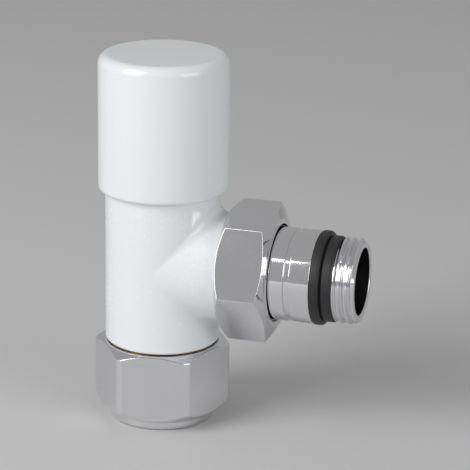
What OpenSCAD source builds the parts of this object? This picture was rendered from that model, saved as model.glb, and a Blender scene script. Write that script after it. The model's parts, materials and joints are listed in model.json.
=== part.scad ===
// Angle radiator valve. The pipe comes up along Z into the foot, the radiator tail leaves along X.
// The origin is the centre of the compression nut's foot, on the axis of pipe, plug and handwheel.

/* [Body] */
// Diameter of the upright barrel
barrel_d = 28.3; // [27.6:0.1:30]
// Diameter of the side branch behind the union nut
branch_d = 26.6; // [26.2:0.1:27.2]
// How far the branch's root stays within the barrel's radius
branch_root_inset = 0.05; // [0.05:0.05:0.5]
// Height of the outlet's axis above the lower end of the barrel
outlet_rise = 19.9; // [18.5:0.1:24]
// Height of the body's top face above the outlet's axis
body_rise = 22.4; // [20:0.1:30]
// Radius of the soft blend between barrel and branch
blend_r = 2.8; // [1:0.1:4]
// Rounding of the barrel's lower edge
barrel_edge_r = 0.8; // [0.3:0.1:1]

/* [Ports and waterways] */
// Diameter over the thread crests of both outside spigots
spigot_d = 26.4; // [25.6:0.1:27]
// Length of the lower spigot below the barrel
inlet_spigot_l = 13.6; // [12.5:0.1:14]
// Distance of the branch's end face from the upright axis
outlet_reach = 24; // [23.6:0.1:27]
// Bore of the waterway below the seat
inlet_bore_d = 11; // [10:0.1:12]
// Bore of the waterway through the branch
outlet_bore_d = 16; // [14:0.1:16]
// Bore of the chamber above the seat
chamber_d = 19; // [18.4:0.1:20]
// Height of the raised seat lip above the chamber's floor
seat_lip_h = 1.5; // [0.8:0.1:2]
// Width of the seat lip's flat top
seat_lip_w = 1.2; // [0.8:0.1:1.6]

/* [Pipe connection] */
// Outside diameter of the pipe
pipe_d = 15; // [14:0.1:15.4]
// Width across flats of the compression nut
foot_nut_af = 30; // [29.6:0.1:32]
// Total height of the compression nut
foot_nut_h = 20; // [19.4:0.1:22]
// Diameter of the nut's round foot
foot_collar_d = 26.4; // [24:0.1:28]
// Height of the nut's round foot
foot_collar_h = 2.4; // [1.8:0.1:2.8]
// Rounding of the foot's lower edge
foot_edge_r = 1.1; // [0.3:0.1:1.5]
// Radius at which the nut's upright corners are cut
foot_corner_r = 16.85; // [16.2:0.05:17.2]
// Slope of the nut's upper bevel, in degrees from level
foot_bevel_angle = 31; // [20:1:40]
// Slope of the nut's lower bevel, in degrees from level
foot_under_angle = 42; // [30:1:50]
// Thickness of the inward lip that bears on the clamping ring
foot_lip_t = 3.2; // [2.6:0.1:3.4]
// Angle of the corners about the upright axis
foot_nut_phase = 8.7; // [0:0.1:59]
// Height of the split clamping ring
clamp_h = 4.4; // [3.6:0.1:4.8]
// Width of the clamping ring's split
clamp_split_w = 1.4; // [0.8:0.1:2]
// Thickness of the pressure ring
pressure_ring_t = 0.9; // [0.6:0.1:1.1]
// Height of the rubber cone ring
pipe_seal_h = 4.2; // [3:0.1:4.4]

/* [Union nut] */
// Width across flats of the union nut
union_nut_af = 30; // [29.6:0.1:32]
// Length of the union nut
union_nut_l = 12.4; // [11.6:0.1:13]
// Radius at which the union nut's corners are cut
union_corner_r = 17.25; // [16.4:0.05:17.3]
// Slope of the back bevel, in degrees from the end face
union_back_angle = 33; // [20:1:40]
// Slope of the front bevel, in degrees from the end face
union_front_angle = 23.5; // [15:0.5:32]
// Radius of the flat front face
union_face_r = 13.4; // [12.8:0.1:14.4]
// Thickness of the inward lip that pulls the tail's flange
union_lip_t = 3; // [2.4:0.1:3.2]
// Bore of the lip, which the tail passes through
union_lip_bore_d = 24; // [23.4:0.1:24.6]
// Angle of the corners about the outlet's axis
union_nut_phase = 38.1; // [0:0.1:59]

/* [Radiator tail] */
// Diameter over the crests of the tail's thread
tail_thread_d = 20.955; // [20.8:0.005:21.1]
// Length of the tail's thread
tail_thread_l = 5.4; // [5:0.1:12]
// Bevel at the open end of the thread
tail_bevel = 0.7; // [0.4:0.1:1]
// Bore through the tail
tail_bore_d = 16.4; // [15:0.1:16.6]
// Diameter of the smooth collar
tail_collar_d = 22.7; // [22:0.1:23]
// Length of the collar between groove and rubber ring
tail_collar_l = 5.1; // [4:0.1:7]
// Width of the turned groove in the collar
tail_groove_w = 1.3; // [0.8:0.1:1.6]
// Depth of the turned groove in the collar
tail_groove_depth = 0.65; // [0.3:0.05:0.9]
// Length of the neck that stands out of the union nut, up to the groove
tail_neck_l = 3.7; // [2:0.1:6]
// Diameter of the flange inside the union nut
tail_flange_d = 25.8; // [25:0.1:25.8]
// Thickness of the flange inside the union nut
tail_flange_t = 2.6; // [1.8:0.1:2.8]
// Diameter of the nose that enters the body
tail_nose_d = 20.6; // [20:0.1:21]
// Length of the nose
tail_nose_l = 4.6; // [4:0.1:5]
// Width of the rib against the collar
seal_rib_w = 2.3; // [1.6:0.1:3]
// Diameter of the rib against the collar
seal_rib_d = 23; // [22.4:0.1:23.4]
// Width of the rib against the thread
seal_lip_w = 2.9; // [2:0.1:3.4]
// Diameter of the rib against the thread
seal_lip_d = 21; // [20.4:0.1:21]
// Diameter of the seat under the rubber ring
seal_seat_d = 18.6; // [18.4:0.1:19]

/* [Headwork] */
// Lift of the plug from closed to fully open
plug_lift = 3.75; // [2:0.05:4]
// Thickness of the rubber disc
plug_seal_t = 3; // [2:0.1:3.2]
// Diameter of the carrier's thread in the bonnet
carrier_thread_d = 12.8; // [12:0.1:13.4]
// Diameter of the bonnet's thread in the body
bonnet_thread_d = 20.3; // [20:0.1:21]
// Diameter of the spindle's shaft
shaft_d = 8; // [7.4:0.1:8.6]
// Width across flats of the spindle's drive
drive_af = 5; // [4.4:0.1:5.6]
// Width across flats of the bonnet's spanner hexagon
bonnet_af = 19; // [17:0.1:20]
// Height of the bonnet's spanner hexagon
bonnet_hex_h = 4; // [3:0.1:5]
// Length of the spindle's splined head
spline_l = 8.4; // [6:0.1:9]
// Number of splines
spline_count = 18; // [12:1:24]

/* [Handwheel] */
// Height of the handwheel from rim to top
wheel_h = 33.65; // [32:0.05:40]
// Wall of the handwheel's skirt
wheel_wall = 1.4; // [1.2:0.1:2.4]
// Thickness of the handwheel's closed top
wheel_top_t = 2.2; // [1.6:0.1:3]
// Rounding round the closed top
wheel_crown_r = 2.4; // [1:0.1:3.4]
// Rounding of the rim's outer edge
wheel_rim_r = 1; // [0.4:0.1:1.1]
// How far the rim hangs below the body's top face
wheel_drop = 3.75; // [2:0.05:6]
// Number of ribs in the hub
hub_ribs = 6; // [3:1:8]

/* [Clearances] */
// Gap between handwheel and barrel, all round
wheel_gap = 0.35; // [0.3:0.05:0.6]
// Radial gap of the plain cylinders that stand for mating threads
thread_gap = 0.15; // [0.1:0.05:0.25]
// Radial gap of turning and sliding fits
running_gap = 0.08; // [0.05:0.01:0.1]
// Gap between faces that bear on each other
face_gap = 0.1; // [0.05:0.01:0.2]
// Radial gap round the pipe
pipe_gap = 0.1; // [0.05:0.01:0.2]

/* [Hidden] */
$fn = 96;

// Overshoot of a cut past the face it opens
cut = 1;
// Ratio of a hexagon's corner radius to half its width across flats
hex_corner = 1 / cos(30);

// Levels up the main axis
barrel_z = foot_nut_h + 2 * face_gap;
outlet_z = barrel_z + outlet_rise;
body_top_z = outlet_z + body_rise;
spigot_z = barrel_z - inlet_spigot_l;
barrel_r = barrel_d / 2;
branch_r = branch_d / 2;
branch_root_r = barrel_r - branch_root_inset;
spigot_r = spigot_d / 2;
pipe_bore_r = pipe_d / 2 + pipe_gap;

// Union nut, placed by the tail's flange that it pulls against the branch's end face
flange_x = outlet_reach + face_gap;
union_lip_x = flange_x + tail_flange_t + face_gap;
union_front_x = union_lip_x + union_lip_t;
union_nut_x = union_front_x - union_nut_l;
branch_taper = atan((branch_root_r - branch_r) / union_nut_x);

// Body: pipe socket, seat and chamber
body_top_edge_r = 0.3;
seat_gap = 0.6;
cone_mouth_step = 2.6;
cone_root_step = 1;
bonnet_shoulder = 0.4;
nose_gap = 0.3;
seat_z = outlet_z - outlet_bore_d / 2 - seat_gap;
chamber_floor_z = seat_z - seat_lip_h;
socket_floor_t = 8;
pipe_stop_z = seat_z - socket_floor_t - seat_lip_h;
cone_mouth_r = pipe_bore_r + cone_mouth_step;
cone_root_r = pipe_bore_r + cone_root_step;
cone_l = 7;
chamber_r = chamber_d / 2;
chamber_top_z = outlet_z + outlet_bore_d / 2 + bonnet_shoulder;
bonnet_bore_r = bonnet_thread_d / 2 + running_gap;
nose_bore_r = tail_nose_d / 2 + thread_gap;
nose_bore_l = tail_nose_l + nose_gap;

// Pipe connection, stacked on the nut's lip
clamp_z = foot_lip_t + face_gap;
pressure_ring_z = clamp_z + clamp_h + face_gap;
pipe_seal_z = pressure_ring_z + pressure_ring_t + face_gap;
foot_thread_r = spigot_r + thread_gap;
foot_top_inset = 0.3;
foot_top_r = foot_nut_af / 2 - foot_top_inset;
foot_step = 0.9;
clamp_shoulder = 1.4;
clamp_drum_share = 0.35;
clamp_tip_share = 0.65;

// Tail, measured along the outlet's axis
groove_x = union_front_x + tail_neck_l;
collar_x = groove_x + tail_groove_w;
seal_x = collar_x + tail_collar_l;
thread_x = seal_x + seal_rib_w + seal_lip_w;
tail_end_x = thread_x + tail_thread_l;
collar_r = tail_collar_d / 2;
nose_ring_x = flange_x - tail_nose_l / 2;
tail_root_bevel = 0.5;
nose_bevel = 0.4;
seal_dip = 0.6;
seal_edge_r = 0.7;
seal_foot_r = 0.4;
union_back_inset = 0.15;
union_thread_r = spigot_r + thread_gap;
union_back_r = union_nut_af / 2 - union_back_inset;

// O-rings: section radii, and the gap between an O-ring and the bore it seals
shaft_section_r = 0.6;
bonnet_section_r = 0.85;
nose_section_r = 0.7;
seal_gap = 0.05;

// Headwork levels
bonnet_flange_step = 1.9;
bonnet_ring_drop = 0.4;
thrust_depth = 3.4;
clip_step = 1.8;
clip_groove = 0.9;
spline_rise = 0.6;
spline_inset = 0.2;
shaft_ring_rise = 2;
shaft_ring_pitch = 4;
bonnet_z = chamber_top_z + face_gap;
bonnet_flange_t = 1.4;
bonnet_stem_h = 2.4;
bonnet_flange_z = body_top_z + face_gap;
bonnet_hex_z = bonnet_flange_z + bonnet_flange_t;
bonnet_top_z = bonnet_hex_z + bonnet_hex_h + bonnet_stem_h;
bonnet_thread_r = bonnet_thread_d / 2;
bonnet_flange_r = bonnet_thread_r + bonnet_flange_step;
bonnet_stem_r = 6.5;
carrier_r = carrier_thread_d / 2;
carrier_bore_r = carrier_r + running_gap;
shaft_r = shaft_d / 2;
shaft_bore_r = shaft_r + running_gap;
thrust_t = 1;
thrust_flange_t = 1.3;
thrust_shoulder_z = bonnet_flange_z - thrust_depth;
thrust_washer_z = thrust_shoulder_z - face_gap - thrust_t;
thrust_flange_z = thrust_washer_z - face_gap - thrust_flange_t;
clip_t = 0.7;
clip_z = bonnet_top_z + face_gap;
spline_z = clip_z + clip_t + spline_rise;
spindle_top_z = spline_z + spline_l;
spline_r = shaft_r - spline_inset;
spline_depth = 0.5;
clip_r = shaft_r + clip_step;
clip_floor_r = shaft_r - clip_groove;
shaft_ring_z = [for (i = [0, 1]) thrust_shoulder_z + shaft_ring_rise + i * shaft_ring_pitch];

// Plug, from the seat upward
plug_seal_z = seat_z + face_gap;
plug_seal_r = 7.2;
carrier_recess = 1;
carrier_rim = 0.9;
carrier_low_r = 0.4;
carrier_high_r = 0.8;
carrier_neck_h = 2.4;
carrier_neck_step = 0.8;
lift_gap = 0.3;
drive_depth = 9.6;
drive_floor_t = 1.4;
carrier_flange_z = plug_seal_z + plug_seal_t - carrier_recess;
carrier_flange_t = 4;
carrier_flange_r = plug_seal_r + carrier_rim;
carrier_top_z = thrust_flange_z - plug_lift - lift_gap;
drive_end_z = carrier_top_z - drive_depth;
drive_socket_z = drive_end_z - plug_lift - lift_gap;
seal_screw_r = 1.5;
seal_washer_t = 0.8;
seal_washer_r = 4.2;
seal_head_r = 3;
seal_head_h = 1.7;
seal_head_edge_r = 0.5;
seal_screw_hole_z = drive_socket_z - drive_floor_t;

// Handwheel
wheel_in_r = barrel_r + wheel_gap;
wheel_r = wheel_in_r + wheel_wall;
wheel_z = body_top_z - wheel_drop;
wheel_top_z = wheel_z + wheel_h;
hub_web_t = 2;
hub_web_z = spindle_top_z + face_gap;
hub_top_z = hub_web_z + hub_web_t;
hub_rim_h = 11;
hub_rim_t = 1.5;
hub_rim_z = hub_top_z - hub_rim_h;
hub_rib_t = 1.2;
hub_boss_wall = 2.4;
hub_boss_r = shaft_r + hub_boss_wall;
hub_boss_z = spline_z + spline_inset;
hub_r = wheel_in_r - face_gap;
snap_bead = 0.35;
wheel_screw_r = 2;
wheel_head_r = 3.7;
wheel_head_h = 2.4;
wheel_head_edge_r = 0.6;
wheel_screw_l = 9;
recess_w = 0.9;
recess_l = 4;
recess_depth = 1.2;

// A ring with flat ends, standing on z = 0
module ring(r_out, r_in, h) {
    difference() {
        cylinder(r = r_out, h = h);
        translate([0, 0, -cut]) cylinder(r = r_in, h = h + 2 * cut);
    }
}

// A ring of round section, its middle at z = 0
module o_ring(mid_r, section_r) {
    rotate_extrude() translate([mid_r, 0]) circle(r = section_r, $fn = 32);
}

// A hexagon bar of a given width across flats, standing on z = 0
module hexagon(af, h) {
    cylinder(r = af / 2 * hex_corner, h = h, $fn = 6);
}

// A toothed outline with pointed grooves
module spline_outline(r, depth, grow) {
    polygon([for (i = [0 : 2 * spline_count - 1])
        let (a = i * 180 / spline_count, rr = r + grow - (i % 2) * depth)
        [rr * cos(a), rr * sin(a)]]);
}

// Quarter disc that rounds an outside edge: up = 1 for a top edge, -1 for a bottom edge
module edge_round(r, up) {
    intersection() {
        circle(r = r);
        translate([0, min(0, up * r)]) square(r);
    }
}

// A cylinder on z = 0 with its upper and lower outside edges rounded
module rounded_drum(r, h, low_r, high_r) {
    rotate_extrude() union() {
        polygon([[0, 0], [r - low_r, 0], [r, low_r], [r, h - high_r], [r - high_r, h], [0, h]]);
        if (low_r > 0) translate([r - low_r, low_r]) edge_round(low_r, -1);
        if (high_r > 0) translate([r - high_r, h - high_r]) edge_round(high_r, 1);
    }
}

// Section of an O-ring in a groove: middle radius, and the groove's floor
function o_ring_mid(bore_r, section_r) = bore_r - seal_gap - section_r;
function o_ring_floor(bore_r, section_r) = bore_r - 2 * (seal_gap + section_r);

// Radius of the body's inlet cone at a level
function cone_radius(z) = cone_mouth_r - (z - spigot_z) * (cone_mouth_r - cone_root_r) / cone_l;

// Puts its children on the outlet's axis, their own Z along world X
module on_outlet() {
    translate([0, 0, outlet_z]) rotate([0, 90, 0]) children();
}

// Saddle fillet between barrel and tapered branch, as left by a ball that rolls round touching both
blend_steps = 48;
blend_arc = 5;
blend_sink = 0.05;
blend_root = 0.6;
function unit(v) = v / norm(v);
function ball_centre(a) =
    let (
        k = branch_root_r + blend_r / cos(branch_taper),
        t = tan(branch_taper),
        c2 = pow(cos(a), 2),
        p = k * t * c2 / (1 + t * t * c2),
        q = (k * k * c2 - pow(barrel_r + blend_r, 2)) / (1 + t * t * c2),
        x = p + sqrt(p * p - q),
        r = k - x * t
    )
    [x, r * cos(a), r * sin(a)];
function to_barrel(c) = unit([-c[0], -c[1], 0]);
function to_branch(a) = [-sin(branch_taper), -cos(branch_taper) * cos(a), -cos(branch_taper) * sin(a)];
function between(u, v, t) =
    let (w = acos(u * v))
    (u * sin((1 - t) * w) + v * sin(t * w)) / sin(w);
// Arc from barrel to branch, just sunk into both, closed by a corner deep inside them
function blend_section(a) =
    let (c = ball_centre(a), u = to_barrel(c), v = to_branch(a))
    concat(
        [for (j = [0 : blend_arc]) c + (blend_r + blend_sink) * between(u, v, j / blend_arc)],
        [c + (blend_r + blend_root) * (u + v) / (1 + u * v)]
    );

module blend() {
    n = blend_arc + 2;
    points = [for (i = [0 : blend_steps - 1]) each blend_section(i * 360 / blend_steps)];
    faces = [for (i = [0 : blend_steps - 1], j = [0 : n - 1])
        let (i2 = (i + 1) % blend_steps, j2 = (j + 1) % n)
        each [[i * n + j, i * n + j2, i2 * n + j], [i * n + j2, i2 * n + j2, i2 * n + j]]];
    translate([0, 0, outlet_z]) polyhedron(points, faces);
}

// Everything that is bored out of the body
module body_bores() {
    translate([0, 0, spigot_z - cut])
        cylinder(r = pipe_bore_r, h = pipe_stop_z - spigot_z + cut);
    translate([0, 0, spigot_z])
        cylinder(r1 = cone_mouth_r, r2 = cone_root_r, h = cone_l);
    translate([0, 0, spigot_z - cut]) cylinder(r = cone_mouth_r, h = cut);
    translate([0, 0, pipe_stop_z - cut])
        cylinder(r = inlet_bore_d / 2, h = seat_z - pipe_stop_z + 2 * cut);
    difference() {
        translate([0, 0, chamber_floor_z]) cylinder(r = chamber_r, h = chamber_top_z - chamber_floor_z);
        translate([0, 0, chamber_floor_z - cut])
            cylinder(r = inlet_bore_d / 2 + seat_lip_w, h = seat_lip_h + cut);
    }
    translate([0, 0, chamber_top_z]) cylinder(r = bonnet_bore_r, h = body_top_z - chamber_top_z + cut);
    on_outlet() cylinder(r = outlet_bore_d / 2, h = outlet_reach + cut);
    on_outlet() translate([0, 0, outlet_reach - nose_bore_l])
        cylinder(r = nose_bore_r, h = nose_bore_l + cut);
}

module valve_body() {
    color("white") difference() {
        union() {
            translate([0, 0, barrel_z])
                rounded_drum(barrel_r, body_top_z - barrel_z, barrel_edge_r, body_top_edge_r);
            translate([0, 0, spigot_z]) cylinder(r = spigot_r, h = barrel_z - spigot_z + cut);
            on_outlet() cylinder(r1 = branch_root_r, r2 = branch_r, h = union_nut_x);
            on_outlet() translate([0, 0, union_nut_x - cut])
                cylinder(r = spigot_r, h = outlet_reach - union_nut_x + cut);
            blend();
        }
        body_bores();
    }
}

// Headwork, screwed into the top of the body
module bonnet() {
    groove_h = 2 * bonnet_section_r + 2 * seal_gap;
    groove_z = bonnet_flange_z - bonnet_ring_drop - groove_h;
    color("darkgoldenrod") difference() {
        union() {
            translate([0, 0, bonnet_z]) cylinder(r = bonnet_thread_r, h = bonnet_flange_z - bonnet_z);
            translate([0, 0, bonnet_flange_z]) cylinder(r = bonnet_flange_r, h = bonnet_flange_t);
            translate([0, 0, bonnet_hex_z]) hexagon(bonnet_af, bonnet_hex_h);
            translate([0, 0, bonnet_hex_z]) cylinder(r = bonnet_stem_r, h = bonnet_top_z - bonnet_hex_z);
        }
        translate([0, 0, bonnet_z - cut])
            cylinder(r = carrier_bore_r, h = thrust_shoulder_z - bonnet_z + cut);
        cylinder(r = shaft_bore_r, h = bonnet_top_z + cut);
        translate([0, 0, groove_z])
            ring(bonnet_thread_r + cut, o_ring_floor(bonnet_bore_r, bonnet_section_r), groove_h);
    }
}

module bonnet_o_ring() {
    color("black") translate([0, 0, bonnet_flange_z - bonnet_ring_drop - bonnet_section_r - seal_gap])
        o_ring(o_ring_mid(bonnet_bore_r, bonnet_section_r), bonnet_section_r);
}

module thrust_washer() {
    color("ivory") translate([0, 0, thrust_washer_z])
        ring(carrier_bore_r - running_gap, shaft_bore_r, thrust_t);
}

module spindle() {
    groove_h = 2 * shaft_section_r + 2 * seal_gap;
    color("goldenrod") difference() {
        union() {
            translate([0, 0, drive_end_z]) hexagon(drive_af, thrust_flange_z - drive_end_z);
            translate([0, 0, thrust_flange_z])
                cylinder(r = carrier_bore_r - running_gap, h = thrust_flange_t);
            translate([0, 0, thrust_flange_z]) cylinder(r = shaft_r, h = spline_z - thrust_flange_z);
            translate([0, 0, spline_z]) linear_extrude(spline_l) spline_outline(spline_r, spline_depth, 0);
        }
        for (z = shaft_ring_z)
            translate([0, 0, z - groove_h / 2])
                ring(shaft_r + cut, o_ring_floor(shaft_bore_r, shaft_section_r), groove_h);
        translate([0, 0, clip_z - seal_gap]) ring(shaft_r + cut, clip_floor_r, clip_t + 2 * seal_gap);
        translate([0, 0, spindle_top_z - wheel_screw_l])
            cylinder(r = wheel_screw_r, h = wheel_screw_l + cut);
    }
}

module spindle_o_rings() {
    color("black") for (z = shaft_ring_z)
        translate([0, 0, z]) o_ring(o_ring_mid(shaft_bore_r, shaft_section_r), shaft_section_r);
}

module spindle_clip() {
    color("silver") translate([0, 0, clip_z]) difference() {
        ring(clip_r, clip_floor_r + seal_gap, clip_t);
        translate([0, -clip_floor_r, -cut]) cube([clip_r + cut, 2 * clip_floor_r, clip_t + 2 * cut]);
    }
}

// Splined inner moulding of the handwheel
module wheel_hub() {
    color("whitesmoke") difference() {
        union() {
            translate([0, 0, hub_boss_z]) cylinder(r = hub_boss_r, h = hub_top_z - hub_boss_z);
            translate([0, 0, hub_web_z]) cylinder(r = hub_r, h = hub_web_t);
            translate([0, 0, hub_rim_z]) ring(hub_r, hub_r - hub_rim_t, hub_rim_h);
            for (i = [0 : hub_ribs - 1]) rotate(i * 360 / hub_ribs)
                translate([hub_boss_r - hub_rim_t, -hub_rib_t / 2, hub_boss_z])
                    cube([hub_r - hub_boss_r + hub_rim_t / 2, hub_rib_t, hub_web_z - hub_boss_z]);
        }
        translate([0, 0, hub_boss_z - cut]) linear_extrude(hub_web_z - hub_boss_z + cut)
            spline_outline(spline_r, spline_depth, running_gap);
        cylinder(r = wheel_screw_r + running_gap, h = hub_top_z + cut);
    }
}

module wheel_screw() {
    color("silver") difference() {
        union() {
            translate([0, 0, hub_top_z]) rounded_drum(wheel_head_r, wheel_head_h, 0, wheel_head_edge_r);
            translate([0, 0, hub_top_z - wheel_screw_l])
                cylinder(r = wheel_screw_r - running_gap, h = wheel_screw_l + cut);
        }
        for (a = [0, 90]) rotate(a)
            translate([-recess_l / 2, -recess_w / 2, hub_top_z + wheel_head_h - recess_depth])
                cube([recess_l, recess_w, recess_depth + cut]);
    }
}

// Outer shell of the handwheel, with a snap bead under the hub's rim
module wheel_cap() {
    ledge_z = hub_top_z;
    ledge_r = hub_r - hub_rim_t / 2;
    bead_z = hub_rim_z - face_gap;
    color("white") rotate_extrude() union() {
        polygon([
            [wheel_in_r, wheel_z], [wheel_r - wheel_rim_r, wheel_z], [wheel_r, wheel_z + wheel_rim_r],
            [wheel_r, wheel_top_z - wheel_crown_r], [wheel_r - wheel_crown_r, wheel_top_z],
            [0, wheel_top_z], [0, wheel_top_z - wheel_top_t], [ledge_r, wheel_top_z - wheel_top_t],
            [ledge_r, ledge_z], [wheel_in_r, ledge_z], [wheel_in_r, bead_z],
            [wheel_in_r - snap_bead, bead_z - snap_bead], [wheel_in_r, bead_z - 2 * snap_bead]
        ]);
        translate([wheel_r - wheel_rim_r, wheel_z + wheel_rim_r]) edge_round(wheel_rim_r, -1);
        translate([wheel_r - wheel_crown_r, wheel_top_z - wheel_crown_r]) edge_round(wheel_crown_r, 1);
    }
}

// Threaded carrier that the spindle's hexagon turns and the bonnet's thread lifts
module plug_carrier() {
    neck_r = carrier_r - carrier_neck_step;
    flange_top_z = carrier_flange_z + carrier_flange_t;
    color("darkgoldenrod") difference() {
        union() {
            translate([0, 0, carrier_flange_z])
                rounded_drum(carrier_flange_r, carrier_flange_t, carrier_low_r, carrier_high_r);
            translate([0, 0, flange_top_z - cut]) cylinder(r = neck_r, h = carrier_neck_h + 2 * cut);
            translate([0, 0, flange_top_z + carrier_neck_h])
                cylinder(r = carrier_r, h = carrier_top_z - flange_top_z - carrier_neck_h);
        }
        translate([0, 0, carrier_flange_z - cut])
            cylinder(r = plug_seal_r + seal_gap, h = carrier_recess + cut);
        translate([0, 0, drive_socket_z])
            hexagon(drive_af + 2 * running_gap, carrier_top_z - drive_socket_z + cut);
        cylinder(r = seal_screw_r, h = seal_screw_hole_z);
    }
}

module plug_seal() {
    color("dimgray") translate([0, 0, plug_seal_z]) ring(plug_seal_r, seal_screw_r + seal_gap, plug_seal_t);
}

module seal_washer() {
    color("silver") translate([0, 0, plug_seal_z - seal_washer_t])
        ring(seal_washer_r, seal_screw_r + seal_gap, seal_washer_t);
}

module seal_screw() {
    head_top_z = plug_seal_z - seal_washer_t;
    color("silver") difference() {
        union() {
            translate([0, 0, head_top_z - seal_head_h])
                rounded_drum(seal_head_r, seal_head_h, seal_head_edge_r, 0);
            translate([0, 0, head_top_z - cut])
                cylinder(r = seal_screw_r - running_gap, h = seal_screw_hole_z - head_top_z + cut - face_gap);
        }
        translate([-seal_head_r - cut, -recess_w / 2, head_top_z - seal_head_h - cut])
            cube([2 * (seal_head_r + cut), recess_w, cut + seal_head_h / 2]);
    }
}

// Radiator tail, turned from bar
module tailpiece() {
    nose_r = tail_nose_d / 2;
    thread_r = tail_thread_d / 2;
    o_ring_w = 2 * nose_section_r + 2 * seal_gap;
    ring_x = nose_ring_x - o_ring_w / 2;
    seat_r = seal_seat_d / 2;
    groove_r = collar_r - tail_groove_depth;
    nose_x = flange_x - tail_nose_l;
    nose_floor_r = o_ring_floor(nose_bore_r, nose_section_r);
    color("lightgray") on_outlet() rotate_extrude() polygon([
        [tail_bore_d / 2, nose_x], [nose_r - nose_bevel, nose_x], [nose_r, nose_x + nose_bevel],
        [nose_r, ring_x], [nose_floor_r, ring_x], [nose_floor_r, ring_x + o_ring_w],
        [nose_r, ring_x + o_ring_w], [nose_r, flange_x],
        [tail_flange_d / 2, flange_x], [tail_flange_d / 2, flange_x + tail_flange_t],
        [collar_r, flange_x + tail_flange_t], [collar_r, groove_x],
        [groove_r, groove_x], [groove_r, collar_x],
        [collar_r, collar_x], [collar_r, seal_x], [seat_r, seal_x], [seat_r, thread_x],
        [thread_r - tail_root_bevel, thread_x], [thread_r, thread_x + tail_root_bevel],
        [thread_r, tail_end_x - tail_bevel], [thread_r - tail_bevel, tail_end_x],
        [tail_bore_d / 2, tail_end_x]
    ]);
}

module tail_o_ring() {
    color("black") on_outlet() translate([0, 0, nose_ring_x])
        o_ring(o_ring_mid(nose_bore_r, nose_section_r), nose_section_r);
}

// Rubber ring with a high rib at the collar and a lower one at the thread
module tail_seal() {
    color("black") on_outlet() translate([0, 0, seal_x]) difference() {
        union() {
            rounded_drum(seal_rib_d / 2, seal_rib_w, seal_foot_r, seal_edge_r);
            translate([0, 0, seal_rib_w - cut]) cylinder(r = seal_lip_d / 2 - seal_dip, h = 2 * cut);
            translate([0, 0, seal_rib_w])
                rounded_drum(seal_lip_d / 2, seal_lip_w, seal_foot_r, seal_edge_r);
        }
        translate([0, 0, -cut])
            cylinder(r = seal_seat_d / 2 + seal_gap, h = seal_rib_w + seal_lip_w + 2 * cut);
    }
}

// Chromed nut on the side outlet
module union_nut() {
    back_rise = (union_corner_r - union_back_r) * tan(union_back_angle);
    front_rise = (union_corner_r - union_face_r) * tan(union_front_angle);
    color("silver") on_outlet() translate([0, 0, union_nut_x]) difference() {
        intersection() {
            rotate(union_nut_phase) hexagon(union_nut_af, union_nut_l);
            rotate_extrude() polygon([
                [0, 0], [union_back_r, 0], [union_corner_r, back_rise],
                [union_corner_r, union_nut_l - front_rise], [union_face_r, union_nut_l], [0, union_nut_l]
            ]);
        }
        translate([0, 0, -cut]) cylinder(r = union_thread_r, h = union_nut_l - union_lip_t + cut);
        translate([0, 0, -cut]) cylinder(r = union_lip_bore_d / 2, h = union_nut_l + 2 * cut);
    }
}

// Chromed nut on the pipe, standing on its round foot
module compression_nut() {
    collar_r = foot_collar_d / 2;
    top_drop = (foot_corner_r - foot_top_r) * tan(foot_bevel_angle);
    under_rise = (foot_corner_r - collar_r - foot_step) * tan(foot_under_angle);
    color("silver") difference() {
        union() {
            rounded_drum(collar_r, foot_collar_h + cut, foot_edge_r, 0);
            intersection() {
                rotate(foot_nut_phase) hexagon(foot_nut_af, foot_nut_h);
                rotate_extrude() polygon([
                    [0, foot_collar_h], [collar_r + foot_step, foot_collar_h],
                    [foot_corner_r, foot_collar_h + under_rise],
                    [foot_corner_r, foot_nut_h - top_drop], [foot_top_r, foot_nut_h], [0, foot_nut_h]
                ]);
            }
        }
        translate([0, 0, foot_lip_t]) cylinder(r = foot_thread_r, h = foot_nut_h - foot_lip_t + cut);
        translate([0, 0, -cut]) cylinder(r = pipe_bore_r, h = foot_nut_h + 2 * cut);
    }
}

// Split brass ring that the nut presses onto the pipe
module clamping_ring() {
    shoulder_r = cone_mouth_r + clamp_shoulder;
    tip_r = cone_radius(clamp_z + clamp_h) - thread_gap;
    color("darkgoldenrod") translate([0, 0, clamp_z]) difference() {
        rotate_extrude() polygon([
            [pipe_bore_r, 0], [shoulder_r, 0], [shoulder_r, clamp_drum_share * clamp_h],
            [tip_r, clamp_tip_share * clamp_h], [tip_r, clamp_h], [pipe_bore_r, clamp_h]
        ]);
        translate([0, -clamp_split_w / 2, -cut]) cube([shoulder_r + cut, clamp_split_w, clamp_h + 2 * cut]);
    }
}

module pressure_ring() {
    color("silver") translate([0, 0, pressure_ring_z])
        ring(cone_radius(pressure_ring_z + pressure_ring_t) - thread_gap, pipe_bore_r, pressure_ring_t);
}

// Rubber cone ring between the pressure ring and the body's cone
module pipe_seal() {
    top_z = pipe_seal_z + pipe_seal_h;
    color("dimgray") rotate_extrude() polygon([
        [pipe_bore_r, pipe_seal_z], [cone_radius(pipe_seal_z) - thread_gap, pipe_seal_z],
        [cone_radius(top_z) - thread_gap, top_z], [pipe_bore_r, top_z]
    ]);
}

valve_body();
bonnet();
bonnet_o_ring();
thrust_washer();
spindle();
spindle_o_rings();
spindle_clip();
wheel_hub();
wheel_screw();
wheel_cap();
plug_carrier();
plug_seal();
seal_washer();
seal_screw();
tailpiece();
tail_o_ring();
tail_seal();
union_nut();
compression_nut();
clamping_ring();
pressure_ring();
pipe_seal();
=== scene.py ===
"""Dresses an angle radiator valve: white enamelled body and handwheel, chromed nuts and radiator tail.

Every length in this file is in millimetres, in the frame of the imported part, until finish_piece scales it.
"""

import json
import math

import bmesh
import bpy
from mathutils import Matrix, Vector


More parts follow.
